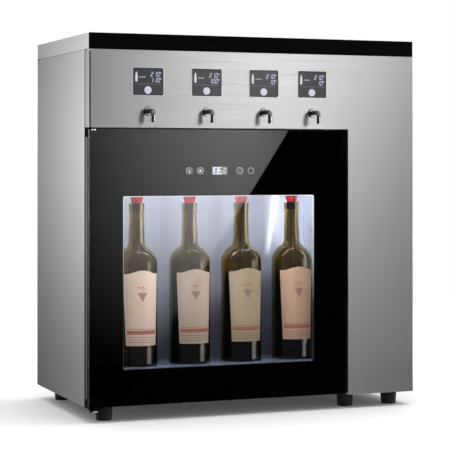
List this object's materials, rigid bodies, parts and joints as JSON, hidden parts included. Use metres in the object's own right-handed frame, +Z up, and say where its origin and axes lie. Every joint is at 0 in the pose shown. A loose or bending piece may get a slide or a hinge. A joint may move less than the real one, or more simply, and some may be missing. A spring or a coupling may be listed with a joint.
{
  "type": "wine preservation dispenser",
  "caption": "Countertop wine preservation dispenser: steel cabinet, glass door over a lit bottle chamber, fascia with displays, lit push buttons and chrome spouts.",
  "frame": {"origin": "on the resting plane of the feet, under the middle of the overall box", "axes": "+X to the right seen from the front, -Y out of the front, +Z up"},
  "size_m": [0.62, 0.3754, 0.6685],
  "materials": {
    "casing_steel": "brushed along the front and the sides",
    "fascia_steel": "brushed horizontally",
    "zinc_steel": "zinc-coated sheet, matt",
    "liner_steel": "bright rolled stainless steel",
    "black_gloss": "black gloss",
    "black_plastic": "black moulded plastic",
    "black_rubber": "black rubber",
    "foam": "cut foam",
    "clear_glass": "clear",
    "bottle_glass": "dark olive green glass",
    "red_rubber": "red rubber",
    "door_aluminium": "satin anodised",
    "cooler_aluminium": "bare extrusion",
    "chrome_plate": "polished chrome",
    "plain_steel": "plain stainless steel",
    "display_black": "dark grey display window",
    "button_light": "translucent, lit from behind",
    "led_white": "lit diffuser",
    "line_plastic": "milky tube",
    "valve_brass": "machined brass",
    "gas_paint": "painted steel",
    "board_green": "circuit board",
    "psu_metal": "perforated sheet case",
    "cell_ceramic": "white ceramic"
  },
  "bodies": {
    "cabinet": {"side_panel_left": "casing_steel", "side_panel_right": "casing_steel", "top_lid": "casing_steel", "fascia_end_cap": "casing_steel", "front_fascia": "fascia_steel", "rear_panel": "zinc_steel", "base_pan": "zinc_steel", "valve_shelf": "zinc_steel", "hinge_brackets": "zinc_steel", "case_screws": "zinc_steel", "liner": "liner_steel", "bottle_tray": "liner_steel", "lid_front_strip": "black_gloss", "front_frame": "black_plastic", "fan_frame": "black_plastic", "power_inlet": "black_plastic", "dispense_heads": "black_plastic", "feet": "black_rubber", "insulation": "foam", "bottle_1": "bottle_glass", "bottle_2": "bottle_glass", "bottle_3": "bottle_glass", "bottle_4": "bottle_glass", "bottle_stoppers": "red_rubber", "cold_plate": "cooler_aluminium", "heat_sink": "cooler_aluminium", "spout_1": "chrome_plate", "spout_2": "chrome_plate", "spout_3": "chrome_plate", "spout_4": "chrome_plate", "dip_tubes": "plain_steel", "spout_nuts": "plain_steel", "display_1": "display_black", "display_2": "display_black", "display_3": "display_black", "display_4": "display_black", "light_bar": "led_white", "wine_lines": "line_plastic", "gas_lines": "line_plastic", "wine_valves": "valve_brass", "gas_manifold": "valve_brass", "gas_regulator": "valve_brass", "gas_cylinder": "gas_paint", "switch_board": "board_green", "main_board": "board_green", "power_supply": "psu_metal", "thermoelectric_cells": "cell_ceramic"},
    "door": {"door_glass": "clear_glass", "door_bezel": "black_gloss", "door_frame": "door_aluminium", "door_inner_glass": "clear_glass", "door_gasket": "black_rubber", "door_hinge_blocks": "black_plastic", "door_control_module": "board_green"},
    "fan": {"fan_rotor": "black_plastic"},
    "push_button_1": {"button_1": "button_light"},
    "push_button_2": {"button_2": "button_light"},
    "push_button_3": {"button_3": "button_light"},
    "push_button_4": {"button_4": "button_light"}
  },
  "joints": [
    {"name": "door_hinge", "type": "hinge", "parent": "cabinet", "child": "door", "pos_m": [-0.3, -0.14375, 0.26555], "axis": [0, 0, -1], "range_deg": [0, 110]},
    {"name": "fan_spin", "type": "hinge", "parent": "cabinet", "child": "fan", "pos_m": [-0.058, 0.10225, 0.2801], "axis": [0, 1, 0], "continuous": true},
    {"name": "button_1_press", "type": "slide", "parent": "cabinet", "child": "push_button_1", "axis": [0, 1, 0], "range_m": [0, 0.0015], "stiffness_N_per_m": 400},
    {"name": "button_2_press", "type": "slide", "parent": "cabinet", "child": "push_button_2", "axis": [0, 1, 0], "range_m": [0, 0.0015], "stiffness_N_per_m": 400},
    {"name": "button_3_press", "type": "slide", "parent": "cabinet", "child": "push_button_3", "axis": [0, 1, 0], "range_m": [0, 0.0015], "stiffness_N_per_m": 400},
    {"name": "button_4_press", "type": "slide", "parent": "cabinet", "child": "push_button_4", "axis": [0, 1, 0], "range_m": [0, 0.0015], "stiffness_N_per_m": 400}
  ]
}
